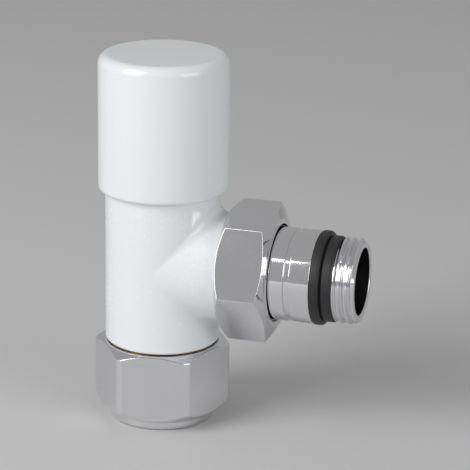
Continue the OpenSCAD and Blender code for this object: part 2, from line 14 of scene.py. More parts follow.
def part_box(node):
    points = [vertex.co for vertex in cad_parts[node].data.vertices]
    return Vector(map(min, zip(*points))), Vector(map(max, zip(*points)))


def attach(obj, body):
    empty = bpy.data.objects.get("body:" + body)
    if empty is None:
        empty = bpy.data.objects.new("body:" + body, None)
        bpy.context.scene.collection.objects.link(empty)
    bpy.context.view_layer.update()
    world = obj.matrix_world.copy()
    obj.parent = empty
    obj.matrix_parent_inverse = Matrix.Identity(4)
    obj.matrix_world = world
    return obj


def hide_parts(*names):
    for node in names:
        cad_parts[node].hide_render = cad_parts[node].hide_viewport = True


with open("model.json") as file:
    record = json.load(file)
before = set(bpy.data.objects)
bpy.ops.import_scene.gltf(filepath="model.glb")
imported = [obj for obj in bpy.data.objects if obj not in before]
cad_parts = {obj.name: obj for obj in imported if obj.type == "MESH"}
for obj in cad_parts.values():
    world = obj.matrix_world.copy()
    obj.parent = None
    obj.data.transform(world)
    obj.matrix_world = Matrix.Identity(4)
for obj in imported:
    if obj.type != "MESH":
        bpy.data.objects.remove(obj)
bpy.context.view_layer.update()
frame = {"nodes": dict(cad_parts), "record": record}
nodes = frame["nodes"]
scene = bpy.context.scene

MM = 0.001
TURN = 2 * math.pi


def box_mm(node):
    """Lowest and highest corners of a CAD node in millimetres."""
    low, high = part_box(node)
    return low / MM, high / MM


# Camera: a long lens to the right of the valve's front and a little above it

PHOTO_SIDE = 470
SENSOR_WIDTH = 36.0
CAMERA_AZIMUTH = math.radians(16.21)
CAMERA_ELEVATION = math.radians(18.21)
CAMERA_ROLL = math.radians(0.91)
CAMERA_DISTANCE = 554.46
CAMERA_FOCAL_PIXELS = 2259.76
TARGET_OUT = 17.65
TARGET_HEIGHT = 46.79


def make_camera():
    """Sets the camera at the photograph's viewing angle and framing."""
    target = Vector((TARGET_OUT * math.cos(CAMERA_AZIMUTH), TARGET_OUT * math.sin(CAMERA_AZIMUTH), TARGET_HEIGHT))
    back = Vector((
        math.sin(CAMERA_AZIMUTH) * math.cos(CAMERA_ELEVATION),
        -math.cos(CAMERA_AZIMUTH) * math.cos(CAMERA_ELEVATION),
        math.sin(CAMERA_ELEVATION),
    ))
    level = Vector((0, 0, 1)).cross(back).normalized()
    right = Matrix.Rotation(CAMERA_ROLL, 3, back) @ level
    data = bpy.data.cameras.new("camera")
    data.sensor_width = SENSOR_WIDTH
    data.lens = CAMERA_FOCAL_PIXELS * SENSOR_WIDTH / PHOTO_SIDE
    data.clip_start = 10 * MM
    camera = bpy.data.objects.new("camera", data)
    scene.collection.objects.link(camera)
    place = Matrix((right, back.cross(right), back)).transposed().to_4x4()
    place.translation = (target + back * CAMERA_DISTANCE) * MM
    camera.matrix_world = place
    scene.camera = camera


make_camera()


# Shader node groups that several finishes share


def new_group(name, inputs, outputs):
    """An empty shader group with named sockets. Returns the group, its input node and its output node."""
    group = bpy.data.node_groups.new(name, "ShaderNodeTree")
    for label, kind, value in inputs:
        socket = group.interface.new_socket(label, in_out="INPUT", socket_type=kind)
        if value is not None:
            socket.default_value = value
    for label, kind in outputs:
        group.interface.new_socket(label, in_out="OUTPUT", socket_type=kind)
    return group, group.nodes.new("NodeGroupInput"), group.nodes.new("NodeGroupOutput")


def add_node(tree, kind, links=None, **settings):
    """A node with its properties set and its inputs linked or given values."""
    node = tree.nodes.new(kind)
    for key, value in settings.items():
        setattr(node, key, value)
    for key, value in (links or {}).items():
        if isinstance(value, bpy.types.NodeSocket):
            tree.links.new(value, node.inputs[key])
        else:
            node.inputs[key].default_value = value
    return node


def make_breakup():
    """Slow patches with fine grain in them, from 0 to 1."""
    group, given, result = new_group(
        "breakup",
        [("Vector", "NodeSocketVector", None), ("Patch Scale", "NodeSocketFloat", 120.0),
         ("Grain Scale", "NodeSocketFloat", 1500.0)],
        [("Value", "NodeSocketFloat")])
    patches = add_node(group, "ShaderNodeTexNoise", {
        "Vector": given.outputs["Vector"], "Scale": given.outputs["Patch Scale"], "Detail": 3.0, "Roughness": 0.6})
    grain = add_node(group, "ShaderNodeTexNoise", {
        "Vector": given.outputs["Vector"], "Scale": given.outputs["Grain Scale"], "Detail": 2.0})
    mixed = add_node(group, "ShaderNodeMath", {0: patches.outputs["Fac"], 1: grain.outputs["Fac"]}, operation="MULTIPLY")
    spread = add_node(group, "ShaderNodeMapRange", {"Value": mixed.outputs["Value"], "From Min": 0.12, "From Max": 0.42})
    group.links.new(spread.outputs["Result"], result.inputs["Value"])
    return group


def make_turning_marks():
    """Fine rings round an axis, as a lathe leaves them: a height and a mask."""
    group, given, result = new_group(
        "turning_marks",
        [("Vector", "NodeSocketVector", None), ("Axis", "NodeSocketVector", (0.0, 0.0, 1.0)),
         ("Rings per Metre", "NodeSocketFloat", 6000.0)],
        [("Height", "NodeSocketFloat"), ("Mask", "NodeSocketFloat")])
    along = add_node(group, "ShaderNodeVectorMath", {0: given.outputs["Vector"], 1: given.outputs["Axis"]},
                     operation="DOT_PRODUCT")
    rings = add_node(group, "ShaderNodeTexNoise", {
        "W": along.outputs["Value"], "Scale": given.outputs["Rings per Metre"], "Detail": 2.0}, noise_dimensions="1D")
    bands = add_node(group, "ShaderNodeTexNoise", {
        "W": along.outputs["Value"], "Scale": 700.0, "Detail": 1.0}, noise_dimensions="1D")
    mask = add_node(group, "ShaderNodeMath", {0: rings.outputs["Fac"], 1: bands.outputs["Fac"]}, operation="MULTIPLY")
    group.links.new(rings.outputs["Fac"], result.inputs["Height"])
    group.links.new(mask.outputs["Value"], result.inputs["Mask"])
    return group


breakup_group = make_breakup()
turning_group = make_turning_marks()


class Finish:
    """A material under construction: its Principled shader, object coordinates and the nodes that feed them."""

    def __init__(self, name, colour, roughness, metallic=0.0, **constants):
        self.material = bpy.data.materials.new(name)
        self.material.use_nodes = True
        self.tree = self.material.node_tree
        self.shader = self.tree.nodes["Principled BSDF"]
        self.shader.inputs["Base Color"].default_value = (*colour, 1.0)
        self.shader.inputs["Roughness"].default_value = roughness
        self.shader.inputs["Metallic"].default_value = metallic
        for label, value in constants.items():
            self.shader.inputs[label.replace("_", " ")].default_value = value
        self.place = self.add("ShaderNodeTexCoord").outputs["Object"]

    def add(self, kind, links=None, **settings):
        return add_node(self.tree, kind, links, **settings)

    def group(self, group, links):
        node = self.tree.nodes.new("ShaderNodeGroup")
        node.node_tree = group
        self.tree.links.new(self.place, node.inputs["Vector"])
        for key, value in links.items():
            node.inputs[key].default_value = value
        return node

    def vary_colour(self, mask, low, high):
        """Base colour that goes from low to high with a mask."""
        mix = self.add("ShaderNodeMix", {"Factor": mask}, data_type="RGBA")
        mix.inputs[6].default_value = (*low, 1.0)
        mix.inputs[7].default_value = (*high, 1.0)
        self.tree.links.new(mix.outputs[2], self.shader.inputs["Base Color"])

    def vary_roughness(self, mask, low, high):
        """Roughness that goes from low to high with a mask."""
        spread = self.add("ShaderNodeMapRange", {"Value": mask, "To Min": low, "To Max": high})
        self.tree.links.new(spread.outputs["Result"], self.shader.inputs["Roughness"])

    def raise_bumps(self, *layers):
        """Stacks bump layers of (height socket, depth in millimetres)."""
        normal = None
        for height, depth in layers:
            links = {"Height": height, "Distance": depth * MM}
            if normal:
                links["Normal"] = normal
            normal = self.add("ShaderNodeBump", links).outputs["Normal"]
        self.tree.links.new(normal, self.shader.inputs["Normal"])


def noise(finish, scale, detail=2.0):
    """Plain noise over a finish; scale is in features per metre."""
    return finish.add("ShaderNodeTexNoise", {"Vector": finish.place, "Scale": scale, "Detail": detail}).outputs["Fac"]


def make_enamel():
    """Gloss white enamel with a faint orange peel."""
    finish = Finish("white_enamel", (0.80, 0.83, 0.85), 0.24, Coat_Weight=0.5, Coat_Roughness=0.06)
    patches = finish.group(breakup_group, {"Patch Scale": 60.0, "Grain Scale": 900.0}).outputs["Value"]
    finish.vary_colour(patches, (0.795, 0.825, 0.845), (0.81, 0.838, 0.855))
    finish.vary_roughness(patches, 0.20, 0.30)
    finish.raise_bumps((noise(finish, 420.0, 1.0), 0.03), (noise(finish, 1600.0), 0.004))
    return finish.material


def make_cap_white():
    """Gloss white of the moulded handwheel, a shade smoother than the enamel."""
    finish = Finish("white_cap", (0.80, 0.83, 0.85), 0.24, Coat_Weight=0.5, Coat_Roughness=0.06)
    patches = finish.group(breakup_group, {"Patch Scale": 45.0, "Grain Scale": 1100.0}).outputs["Value"]
    finish.vary_colour(patches, (0.797, 0.827, 0.848), (0.808, 0.836, 0.854))
    finish.vary_roughness(patches, 0.21, 0.28)
    finish.raise_bumps((noise(finish, 300.0, 1.0), 0.02), (noise(finish, 2200.0), 0.002))
    return finish.material


def make_chrome(name, axis=None):
    """Polished chrome plate. With an axis it keeps the lathe's rings under the polish."""
    finish = Finish(name, (0.83, 0.83, 0.85), 0.07, metallic=1.0)
    haze = finish.group(breakup_group, {"Patch Scale": 90.0, "Grain Scale": 2500.0}).outputs["Value"]
    finish.vary_colour(haze, (0.84, 0.84, 0.86), (0.80, 0.80, 0.82))
    finish.vary_roughness(haze, 0.05, 0.13)
    layers = [(noise(finish, 130.0, 1.0), 0.012)]
    if axis:
        rings = finish.group(turning_group, {"Axis": axis, "Rings per Metre": 7000.0})
        layers.append((rings.outputs["Height"], 0.0015))
    finish.raise_bumps(*layers)
    return finish.material


def make_turned(name, colour, dull, roughness, axis):
    """Bare turned metal: rings in height and colour, and a duller film in patches."""
    finish = Finish(name, colour, roughness, metallic=1.0)
    rings = finish.group(turning_group, {"Axis": axis, "Rings per Metre": 5000.0})
    film = finish.group(breakup_group, {"Patch Scale": 150.0, "Grain Scale": 3000.0}).outputs["Value"]
    finish.vary_colour(film, colour, dull)
    finish.vary_roughness(rings.outputs["Mask"], roughness - 0.08, roughness + 0.14)
    finish.raise_bumps((rings.outputs["Height"], 0.006))
    return finish.material


def make_moulded(name, colour, worn, roughness, grain_depth):
    """Moulded rubber or plastic: fine grain, and a slightly worn or dusty patchiness."""
    finish = Finish(name, colour, roughness)
    patches = finish.group(breakup_group, {"Patch Scale": 200.0, "Grain Scale": 4000.0}).outputs["Value"]
    finish.vary_colour(patches, colour, worn)
    finish.vary_roughness(patches, roughness - 0.06, roughness + 0.1)
    finish.raise_bumps((noise(finish, 5000.0, 3.0), grain_depth))
    return finish.material


ALONG_VALVE = (0.0, 0.0, 1.0)
ALONG_OUTLET = (1.0, 0.0, 0.0)

white_enamel = make_enamel()
white_cap = make_cap_white()
chrome = make_chrome("chrome")
turned_chrome = make_chrome("turned_chrome", ALONG_OUTLET)
brass = make_turned("turned_brass", (0.72, 0.52, 0.25), (0.62, 0.44, 0.20), 0.28, ALONG_VALVE)
steel = make_turned("zinc_steel", (0.62, 0.63, 0.65), (0.52, 0.53, 0.56), 0.26, ALONG_VALVE)
rubber = make_moulded("black_rubber", (0.012, 0.012, 0.013), (0.022, 0.022, 0.023), 0.48, 0.004)
hub_plastic = make_moulded("hub_plastic", (0.62, 0.63, 0.62), (0.58, 0.59, 0.58), 0.45, 0.003)
washer_plastic = make_moulded("washer_plastic", (0.78, 0.76, 0.70), (0.74, 0.72, 0.66), 0.4, 0.002)

slot_finish = {
    "white_enamel": white_enamel,
    "white_cap": white_cap,
    "hub_plastic": hub_plastic,
    "chrome": chrome,
    "brass": brass,
    "steel": steel,
    "black_rubber": rubber,
    "washer_plastic": washer_plastic,
}
for part in frame["record"]["subparts"]:
    mesh = nodes[part["node"]].data
    mesh.materials.clear()
    mesh.materials.append(slot_finish[part["material_slot"]])


# Modelling tools

ROUND_STEPS = 128
FILLET_STEPS = 5
WELD = 1e-4


def outline(corners, closed=True):
    """Corners given as (radius, height) or (radius, height, fillet) become points, with arcs at the fillets."""
    points = []
    for i, corner in enumerate(corners):
        here = Vector(corner[:2])
        fillet = corner[2] if len(corner) > 2 else 0
        if not fillet:
            points.append(here)
            continue
        before = (Vector(corners[i - 1][:2]) - here).normalized()
        after = (Vector(corners[(i + 1) % len(corners)][:2]) - here).normalized()
        half = before.angle(after) / 2
        centre = here + (before + after).normalized() * fillet / math.sin(half)
        start = here + before * fillet / math.tan(half) - centre
        end = here + after * fillet / math.tan(half) - centre
        for j in range(FILLET_STEPS + 1):
            points.append(centre + fillet * start.slerp(end, j / FILLET_STEPS))
    return points


def draw(bm, points, azimuth=0.0, closed=True):
    """Draws a profile of (radius, height) points in the plane at one azimuth about Z. Returns verts and edges."""
    turn = Matrix.Rotation(azimuth, 3, "Z")
    verts = [bm.verts.new(turn @ Vector((p[0], 0, p[1]))) for p in points]
    pairs = list(zip(verts, verts[1:] + verts[:1])) if closed else list(zip(verts, verts[1:]))
    return verts + [bm.edges.new(pair) for pair in pairs]


def spin(bm, geom, angle=TURN, steps=ROUND_STEPS, rise=0.0):
    """Spins verts and edges about Z, rising by so much a turn."""
    return bmesh.ops.spin(bm, geom=geom, cent=(0, 0, 0), axis=(0, 0, 1), dvec=(0, 0, rise * angle / TURN / steps),
                          angle=angle, steps=steps, use_merge=angle == TURN and rise == 0)


def tidy(bm):
    """Welds doubles and points every face outwards."""
    bmesh.ops.remove_doubles(bm, verts=bm.verts, dist=WELD)
    bmesh.ops.recalc_face_normals(bm, faces=bm.faces)


def turned_part(corners, closed=True, steps=ROUND_STEPS):
    """A solid of revolution about Z from an outline."""
    bm = bmesh.new()
    spin(bm, draw(bm, outline(corners), closed=closed), steps=steps)
    tidy(bm)
    return bm


def soften(bm, radius, sharper_than, segments=3, among=None):
    """Rounds the edges that are sharper than an angle in degrees."""
    limit = math.radians(sharper_than)
    edges = [e for e in bm.edges if len(e.link_faces) == 2 and e.calc_face_angle() > limit and (not among or among(e))]
    bmesh.ops.bevel(bm, geom=edges, offset=radius, offset_type="OFFSET", segments=segments, profile=0.5,
                    affect="EDGES", clamp_overlap=True, material=-1)


outlet_z = sum(corner.z for corner in box_mm("tailpiece")) / 2


def onto_outlet(bm):
    """Lays a shape made about Z along the outlet's axis."""
    bm.transform(Matrix.Translation((0, 0, outlet_z)) @ Matrix.Rotation(math.radians(90), 4, "Y"))
    return bm


def as_object(bm, name, *materials):
    """Turns a bmesh into an object, still in millimetres."""
    mesh = bpy.data.meshes.new(name)
    bm.to_mesh(mesh)
    bm.free()
    for material in materials:
        mesh.materials.append(material)
    obj = bpy.data.objects.new(name, mesh)
    scene.collection.objects.link(obj)
    return obj


def combine(obj, tool_bm, operation, material_index=0):
    """Joins a shape to an object or cuts it out of it, exactly. The new faces keep the given material."""
    for face in tool_bm.faces:
        face.material_index = material_index
    tool = as_object(tool_bm, obj.name + "_tool", *obj.data.materials)
    modifier = obj.modifiers.new("combine", "BOOLEAN")
    modifier.operation = operation
    modifier.solver = "EXACT"
    modifier.object = tool
    bpy.context.view_layer.update()
    result = bpy.data.meshes.new_from_object(obj.evaluated_get(bpy.context.evaluated_depsgraph_get()))
    obj.modifiers.clear()
    obj.data = result
    bpy.data.objects.remove(tool)


CREASE = 28


def finish_piece(obj, body, slot, *replaced):
    """Scales a piece to metres, shades it, hangs it on its body, and hides the CAD nodes it replaces."""
    mesh = obj.data
    mesh.transform(Matrix.Scale(MM, 4))
    mesh.shade_smooth()
    mesh.set_sharp_from_angle(angle=math.radians(CREASE))
    weighted = obj.modifiers.new("weighted_normals", "WEIGHTED_NORMAL")
    weighted.keep_sharp = True
    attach(obj, body)
    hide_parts(*replaced)
    return obj


# Pipe threads: 14 turns to the inch, 55 degree flanks, rounded crests and roots

PITCH = 1.814
THREAD_DEPTH = 1.162
CREST_ROUND = 0.249
FLANK = math.radians(62.5)
COIL_SPREAD = 0.94
COIL_SINK = 0.15


def thread_coil(crest_r, start, length, bevel_start, bevel_end):
    """A helical ridge about Z with its crest at crest_r, trimmed to a length with beveled ends."""
    half = PITCH / 2
    root_r = crest_r - THREAD_DEPTH
    crest = [(crest_r - CREST_ROUND * (1 - math.cos(a)), CREST_ROUND * math.sin(a))
             for a in (-FLANK, -FLANK / 2, 0, FLANK / 2, FLANK)]
    foot = [(root_r + CREST_ROUND * (1 - math.cos(a)), half - CREST_ROUND * math.sin(a)) for a in (FLANK, FLANK / 2)]
    side = foot + [(root_r, half * COIL_SPREAD), (root_r - COIL_SINK, half * COIL_SPREAD)]
    section = crest + side + [(r, -z) for r, z in reversed(side)]
    turns = math.ceil(length / PITCH) + 2
    bm = bmesh.new()
    geom = draw(bm, [(r, z + start - PITCH) for r, z in section])
    spin(bm, geom, angle=TURN * turns, steps=turns * ROUND_STEPS, rise=PITCH)
    bmesh.ops.holes_fill(bm, edges=[e for e in bm.edges if e.is_boundary])
    tidy(bm)
    obj = as_object(bm, "coil")
    keep = turned_part([
        (root_r - 2 * COIL_SINK, start), (crest_r - bevel_start, start), (crest_r + COIL_SINK, start + bevel_start + COIL_SINK),
        (crest_r + COIL_SINK, start + length - bevel_end - COIL_SINK), (crest_r - bevel_end, start + length),
        (root_r - 2 * COIL_SINK, start + length)])
    combine(obj, keep, "INTERSECT")
    trimmed = bmesh.new()
    trimmed.from_mesh(obj.data)
    bpy.data.objects.remove(obj)
    return trimmed


# Body: barrel and branch in one enamelled casting, with bare brass spigots and bores

body_low, body_high = box_mm("valve_body")
foot_low, foot_high = box_mm("compression_nut")
union_low, union_high = box_mm("union_nut")

BARREL_EDGE = 0.8
BODY_TOP_EDGE = 0.3
BARREL_GAP = 0.2
BLEND_RADIUS = 2.8
BLEND_STEPS = 10
BRANCH_RADIUS = 13.3
BRANCH_ROOT_INSET = 0.05
SPIGOT_RADIUS = 13.2
SPIGOT_BEVEL = 0.7
FRONT_STEPS = 62
BACK_STEPS = 68

barrel_r = -body_low.x
barrel_z = foot_high.z + BARREL_GAP
body_top = body_high.z
spigot_z = body_low.z
outlet_reach = body_high.x
branch_end = union_low.x
branch_root_r = barrel_r - BRANCH_ROOT_INSET
spigot_core_r = SPIGOT_RADIUS - THREAD_DEPTH + 0.02
taper = math.atan((branch_root_r - BRANCH_RADIUS) / branch_end)
orbit = barrel_r + BLEND_RADIUS
tip_azimuth = math.asin((branch_root_r * math.cos(taper) + BLEND_RADIUS) / orbit) - taper


def rolled_row(side, roll):
    """Points of the blend from tip to tip: a ball rolls between barrel and branch, and roll goes from 0 on the
    barrel to 1 on the branch. Past 1 they lie on the branch's end, at the nut."""
    points = []
    for i in range(FRONT_STEPS + 1):
        azimuth = tip_azimuth * (2 * i / FRONT_STEPS - 1)
        centre = Vector((orbit * math.cos(azimuth), orbit * math.sin(azimuth), 0))
        reach = branch_root_r + BLEND_RADIUS / math.cos(taper) - centre.x * math.tan(taper)
        centre.z = side * math.sqrt(max(0, reach ** 2 - centre.y ** 2))
        around = Vector((0, centre.y, centre.z)) / reach
        if roll > 1:
            point = Vector((branch_end, 0, 0)) + BRANCH_RADIUS * around
        else:
            to_barrel = Vector((-math.cos(azimuth), -math.sin(azimuth), 0))
            to_branch = -math.sin(taper) * Vector((1, 0, 0)) - math.cos(taper) * around
            point = centre + BLEND_RADIUS * to_barrel.slerp(to_branch, roll)
        points.append(point + Vector((0, 0, outlet_z)))
    return points


def next_row(bm, row, points):
    """Extrudes a row of verts to new places. Rows run along Y."""
    edges = [bm.edges.get(pair) for pair in zip(row, row[1:])]
    made = bmesh.ops.extrude_edge_only(bm, edges=edges)["geom"]
    fresh = sorted((v for v in made if isinstance(v, bmesh.types.BMVert)), key=lambda v: v.co.y)
    for vert, point in zip(fresh, points):
        vert.co = point
    return fresh


def spigot_row(row_points, x, radius):
    """The branch's end row moved to another place along the outlet and another radius."""
    axis = Vector((0, 0, outlet_z))
    moved = []
    for point in row_points:
        out = Vector((0, point.y, point.z - outlet_z)).normalized()
        moved.append(axis + Vector((x, 0, 0)) + out * radius)
    return moved


def make_body():
    """The casting: spun ends and back, and a front that is drawn out over the blend to the branch."""
    lower = outline([(0, spigot_z), (spigot_core_r - SPIGOT_BEVEL / 2, spigot_z),
                     (spigot_core_r, spigot_z + SPIGOT_BEVEL / 2), (spigot_core_r, barrel_z)])
    lower_edge = outline([(spigot_core_r, barrel_z), (barrel_r, barrel_z, BARREL_EDGE), (barrel_r, outlet_z)])[:-1]
    upper = outline([(barrel_r, outlet_z), (barrel_r, body_top, BODY_TOP_EDGE), (0, body_top)])[1:]
    bm = bmesh.new()
    spin(bm, draw(bm, lower + lower_edge[1:], -tip_azimuth, closed=False), 2 * tip_azimuth, FRONT_STEPS)
    spin(bm, draw(bm, upper, -tip_azimuth, closed=False), 2 * tip_azimuth, FRONT_STEPS)
    wall = lower + lower_edge[1:] + [Vector((barrel_r, outlet_z))] + upper
    spin(bm, draw(bm, wall, tip_azimuth, closed=False), TURN - 2 * tip_azimuth, BACK_STEPS)
    for side, start in ((1, upper[0]), (-1, lower_edge[-1])):
        seed = draw(bm, [start], -tip_azimuth, closed=False)
        spin(bm, seed, 2 * tip_azimuth, FRONT_STEPS)
        row = [v for v in bm.verts if not v.link_faces]
        row.sort(key=lambda v: v.co.y)
        for step in range(BLEND_STEPS + 1):
            row = next_row(bm, row, rolled_row(side, step / BLEND_STEPS))
        end = rolled_row(side, 2)
        row = next_row(bm, row, end)
        row = next_row(bm, row, spigot_row(end, branch_end, spigot_core_r))
        row = next_row(bm, row, spigot_row(end, outlet_reach - SPIGOT_BEVEL / 2, spigot_core_r))
        next_row(bm, row, spigot_row(end, outlet_reach, spigot_core_r - SPIGOT_BEVEL / 2))
    bmesh.ops.remove_doubles(bm, verts=bm.verts, dist=WELD)
    bmesh.ops.holes_fill(bm, edges=[e for e in bm.edges if e.is_boundary])
    tidy(bm)
    for face in bm.faces:
        middle = face.calc_center_median()
        below = middle.z < barrel_z - WELD
        face.material_index = 1 if below or middle.x > branch_end + WELD else 0
    body = as_object(bm, "body_casting", white_enamel, brass)
    combine(body, thread_coil(SPIGOT_RADIUS, spigot_z + 0.05, barrel_z - spigot_z - 1.2, SPIGOT_BEVEL, SPIGOT_BEVEL),
            "UNION", 1)
    combine(body, onto_outlet(thread_coil(SPIGOT_RADIUS, branch_end + 0.9, outlet_reach - branch_end - 0.95,
                                          SPIGOT_BEVEL, SPIGOT_BEVEL)), "UNION", 1)
    combine(body, turned_part(pipe_side_bores(), closed=False), "DIFFERENCE", 1)
    combine(body, onto_outlet(turned_part(outlet_bores(), closed=False)), "DIFFERENCE", 1)
    return finish_piece(body, "body", "white_enamel", "valve_body")


PIPE_BORE_RADIUS = 7.6
CONE_MOUTH = 2.6
CONE_ROOT = 1.0
CONE_LENGTH = 7.0
INLET_BORE_RADIUS = 5.5
OUTLET_BORE_RADIUS = 8.0
SEAT_GAP = 0.6
SEAT_LIP_HEIGHT = 1.5
SEAT_LIP_WIDTH = 1.2
SOCKET_FLOOR = 8.0
CHAMBER_RADIUS = 9.5
BONNET_SHOULDER = 0.4
BONNET_BORE_RADIUS = 10.23
NOSE_BORE_RADIUS = 10.45
NOSE_BORE_LENGTH = 4.9


def pipe_side_bores():
    """Outline of all that is bored out along the upright axis, from the pipe's cone to the bonnet's thread."""
    seat_z = outlet_z - OUTLET_BORE_RADIUS - SEAT_GAP
    chamber_floor = seat_z - SEAT_LIP_HEIGHT
    pipe_stop = chamber_floor - SOCKET_FLOOR
    chamber_top = outlet_z + OUTLET_BORE_RADIUS + BONNET_SHOULDER
    mouth_r = PIPE_BORE_RADIUS + CONE_MOUTH
    cone_end = spigot_z + CONE_LENGTH
    lip_r = INLET_BORE_RADIUS + SEAT_LIP_WIDTH
    return [
        (0, spigot_z - 1), (mouth_r, spigot_z - 1), (mouth_r, spigot_z), (PIPE_BORE_RADIUS + CONE_ROOT, cone_end),
        (PIPE_BORE_RADIUS, cone_end), (PIPE_BORE_RADIUS, pipe_stop), (INLET_BORE_RADIUS, pipe_stop),
        (INLET_BORE_RADIUS, seat_z), (lip_r, seat_z), (lip_r, chamber_floor), (CHAMBER_RADIUS, chamber_floor),
        (CHAMBER_RADIUS, chamber_top), (BONNET_BORE_RADIUS, chamber_top), (BONNET_BORE_RADIUS, body_top + 1),
        (0, body_top + 1),
    ]


def outlet_bores():
    """Outline of all that is bored out along the outlet."""
    nose_start = outlet_reach - NOSE_BORE_LENGTH
    return [(0, 0), (OUTLET_BORE_RADIUS, 0), (OUTLET_BORE_RADIUS, nose_start), (NOSE_BORE_RADIUS, nose_start),
            (NOSE_BORE_RADIUS, outlet_reach + 1), (0, outlet_reach + 1)]


make_body()


# Nuts: a turned blank whose six flats are planed off, with every edge softened by the polishing

FLAT_STEPS = 18
CORNER_STEPS = 2
NUT_EDGE = 0.22


def hexagon_nut(corners, across_flats, corner_r, phase):
    """A turned ring with six flats. The blank's columns meet the flats at the corners, so no slivers are left."""
    band = math.radians(30) - math.acos(across_flats / 2 / corner_r)
    points = outline(corners)
    bm = bmesh.new()
    for i in range(6):
        corner = math.radians(phase + 60 * i)
        spin(bm, draw(bm, points, corner - band), 2 * band, CORNER_STEPS)
        spin(bm, draw(bm, points, corner + band), TURN / 6 - 2 * band, FLAT_STEPS)
    tidy(bm)
    for i in range(6):
        azimuth = math.radians(phase + 30 + 60 * i)
        facing = Vector((math.cos(azimuth), math.sin(azimuth), 0))
        cut = bmesh.ops.bisect_plane(bm, geom=bm.verts[:] + bm.edges[:] + bm.faces[:], dist=WELD * 10,
                                     plane_co=facing * across_flats / 2, plane_no=facing, clear_outer=True)
        rim = [e for e in cut["geom_cut"] if isinstance(e, bmesh.types.BMEdge)]
        bmesh.ops.holes_fill(bm, edges=rim)
    tidy(bm)
    soften(bm, NUT_EDGE, 18)
    return bm


def slope_rise(run, degrees):
    return run * math.tan(math.radians(degrees))


NUT_ACROSS_FLATS = 30.0
NUT_THREAD_RADIUS = 13.35
FOOT_COLLAR_RADIUS = 13.2
FOOT_COLLAR_HEIGHT = 2.4
FOOT_STEP = 0.9
FOOT_EDGE = 1.1
FOOT_CORNER_RADIUS = 16.85
FOOT_TOP_RADIUS = 14.7
FOOT_LIP = 3.2
FOOT_PHASE = 8.7
FOOT_BEVEL_ANGLE = 31
FOOT_UNDER_ANGLE = 42


def make_foot_nut():
    top = foot_high.z
    under = FOOT_COLLAR_HEIGHT + slope_rise(FOOT_CORNER_RADIUS - FOOT_COLLAR_RADIUS - FOOT_STEP, FOOT_UNDER_ANGLE)
    shoulder = top - slope_rise(FOOT_CORNER_RADIUS - FOOT_TOP_RADIUS, FOOT_BEVEL_ANGLE)
    bm = hexagon_nut([
        (PIPE_BORE_RADIUS, 0), (FOOT_COLLAR_RADIUS, 0, FOOT_EDGE), (FOOT_COLLAR_RADIUS, FOOT_COLLAR_HEIGHT),
        (FOOT_COLLAR_RADIUS + FOOT_STEP, FOOT_COLLAR_HEIGHT), (FOOT_CORNER_RADIUS, under),
        (FOOT_CORNER_RADIUS, shoulder), (FOOT_TOP_RADIUS, top), (NUT_THREAD_RADIUS + 0.5, top),
        (NUT_THREAD_RADIUS, top - 0.5), (NUT_THREAD_RADIUS, FOOT_LIP), (PIPE_BORE_RADIUS, FOOT_LIP),
    ], NUT_ACROSS_FLATS, FOOT_CORNER_RADIUS, FOOT_PHASE)
    finish_piece(as_object(bm, "foot_nut_polished", chrome), "foot", "chrome", "compression_nut")


UNION_CORNER_RADIUS = 17.25
UNION_BACK_RADIUS = 14.85
UNION_FACE_RADIUS = 13.4
UNION_BACK_ANGLE = 33
UNION_FRONT_ANGLE = 23.5
UNION_LIP = 3.0
UNION_LIP_BORE_RADIUS = 12.0
UNION_PHASE = 38.1


def make_union_nut():
    back, front = union_low.x, union_high.x
    back_shoulder = back + slope_rise(UNION_CORNER_RADIUS - UNION_BACK_RADIUS, UNION_BACK_ANGLE)
    front_shoulder = front - slope_rise(UNION_CORNER_RADIUS - UNION_FACE_RADIUS, UNION_FRONT_ANGLE)
    bm = hexagon_nut([
        (NUT_THREAD_RADIUS + 0.5, back), (UNION_BACK_RADIUS, back), (UNION_CORNER_RADIUS, back_shoulder),
        (UNION_CORNER_RADIUS, front_shoulder), (UNION_FACE_RADIUS, front), (UNION_LIP_BORE_RADIUS, front),
        (UNION_LIP_BORE_RADIUS, front - UNION_LIP), (NUT_THREAD_RADIUS, front - UNION_LIP),
        (NUT_THREAD_RADIUS, back + 0.5),
    ], NUT_ACROSS_FLATS, UNION_CORNER_RADIUS, UNION_PHASE)
    finish_piece(as_object(onto_outlet(bm), "union_nut_polished", chrome), "union", "chrome", "union_nut")


make_foot_nut()
make_union_nut()


# Radiator tail, turned from bar: nose, flange, neck, grooved collar, seal seat and thread

tail_low, tail_high = box_mm("tailpiece")
seal_low, seal_high = box_mm("tail_seal")

NOSE_RADIUS = 10.3
NOSE_RING_WIDTH = 1.5
NOSE_RING_FLOOR = 8.95
NOSE_BEVEL = 0.4
FLANGE_RADIUS = 12.9
FLANGE_THICKNESS = 2.6
FACE_GAP = 0.1
NECK_LENGTH = 3.7
GROOVE_WIDTH = 1.3
GROOVE_DEPTH = 0.65
COLLAR_RADIUS = 11.35
SEAL_SEAT_RADIUS = 9.3
TAIL_THREAD_RADIUS = 10.4775
TAIL_BORE_RADIUS = 8.2
TAIL_BEVEL = 0.7


